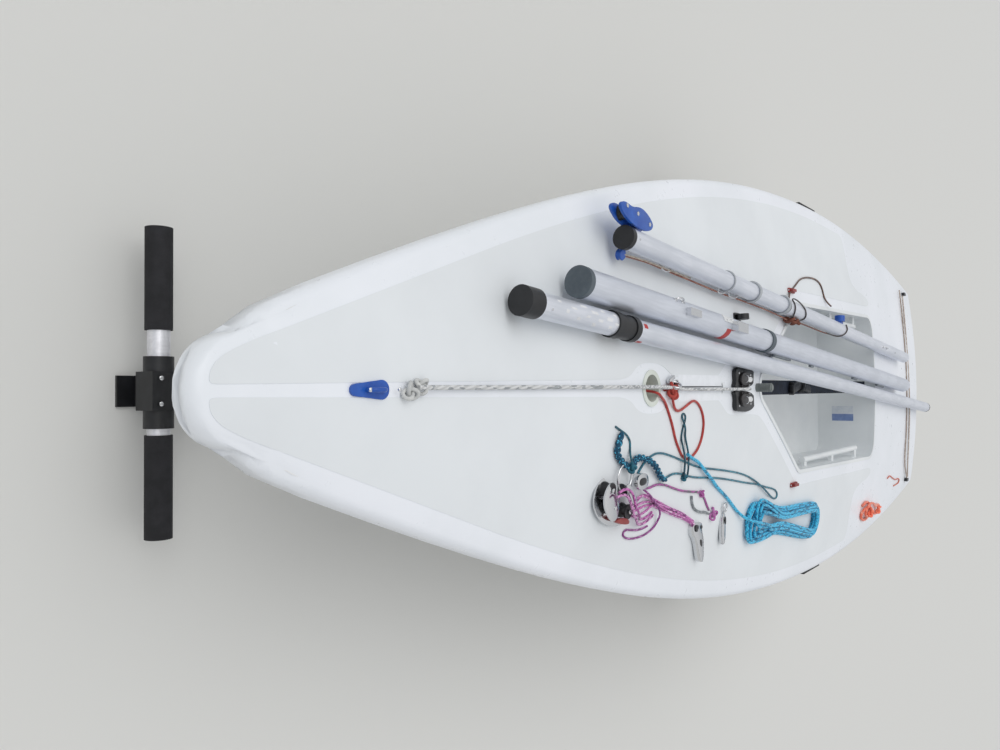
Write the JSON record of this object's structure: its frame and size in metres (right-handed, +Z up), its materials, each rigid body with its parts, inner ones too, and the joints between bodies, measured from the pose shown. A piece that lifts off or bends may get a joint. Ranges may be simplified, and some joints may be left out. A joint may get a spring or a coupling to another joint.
{
  "type": "sailing dinghy on launching dolly",
  "caption": "Single-handed sailing dinghy with a decked hull, its masts and boom laid on deck, parked bow down on a two-wheeled launching dolly with a T handle.",
  "frame": {"origin": "on the floor under the middle of the whole", "axes": "+X forward to the bow, +Y to port, +Z up"},
  "size_m": [4.2366, 1.648, 0.8752],
  "materials": {
    "black_plastic": "moulded black",
    "black_rubber": "matt rubber",
    "blue_plastic": "moulded blue",
    "deck_gelcoat": "white gelcoat with non-skid panels",
    "dolly_aluminium": "mill-finish tube",
    "foam": "closed-cell foam",
    "grey_plastic": "moulded grey-green",
    "hull_gelcoat": "smooth white gelcoat",
    "liner_gelcoat": "pale grey-white gelcoat",
    "navy_webbing": "woven webbing",
    "slate_plastic": "moulded slate grey",
    "spar_aluminium": "scratched clear anodised tube",
    "stainless": "polished stainless",
    "tyre": "black tread rubber",
    "wheel_plastic": "moulded pale grey"
  },
  "bodies": {
    "boat_on_dolly": {"axle_clamp": "black_plastic", "boom_cheek_block": "blue_plastic", "boom_end": "black_plastic", "boom_middle_block": "blue_plastic", "boom_tube": "spar_aluminium", "bow_bracket": "dolly_aluminium", "bow_eye": "blue_plastic", "bow_pad": "black_rubber", "cleat_base": "black_plastic", "cleat_jaws": "black_plastic", "cockpit_liner": "liner_gelcoat", "daggerboard_case": "liner_gelcoat", "deck": "deck_gelcoat", "deck_block": "black_plastic", "dolly_axle": "dolly_aluminium", "dolly_tongue": "dolly_aluminium", "drain_plug": "black_plastic", "gooseneck": "stainless", "grab_rail_port": "liner_gelcoat", "grab_rail_starboard": "liner_gelcoat", "grip_port": "foam", "grip_starboard": "foam", "gunwale_pad_port": "black_rubber", "gunwale_pad_starboard": "black_rubber", "handle_bar": "dolly_aluminium", "handle_clamp": "black_plastic", "handle_foot": "stainless", "hiking_strap": "navy_webbing", "hull": "hull_gelcoat", "lower_mast_foot": "slate_plastic", "lower_mast_tube": "spar_aluminium", "mast_eye": "stainless", "mast_ring": "slate_plastic", "mast_step": "grey_plastic", "rudder_gudgeons": "stainless", "sheet_post": "black_rubber", "side_cleat_port": "black_plastic", "side_cleat_starboard": "black_plastic", "traveller_fairleads": "black_plastic", "upper_mast_collar": "black_plastic", "upper_mast_plug": "black_plastic", "upper_mast_top": "black_plastic", "upper_mast_tube": "spar_aluminium", "upright_port": "dolly_aluminium", "upright_starboard": "dolly_aluminium", "vang_tang": "stainless", "wheel_washers": "stainless"},
    "left_wheel": {"wheel_port": "wheel_plastic", "tyre_port": "tyre"},
    "right_wheel": {"wheel_starboard": "wheel_plastic", "tyre_starboard": "tyre"}
  },
  "joints": [
    {"name": "wheel_left_spin", "type": "hinge", "parent": "boat_on_dolly", "child": "left_wheel", "pos_m": [-0.5187, 0.762, 0.2], "axis": [0, 1, 0], "continuous": true},
    {"name": "wheel_right_spin", "type": "hinge", "parent": "boat_on_dolly", "child": "right_wheel", "pos_m": [-0.5187, -0.762, 0.2], "axis": [0, 1, 0], "continuous": true}
  ]
}
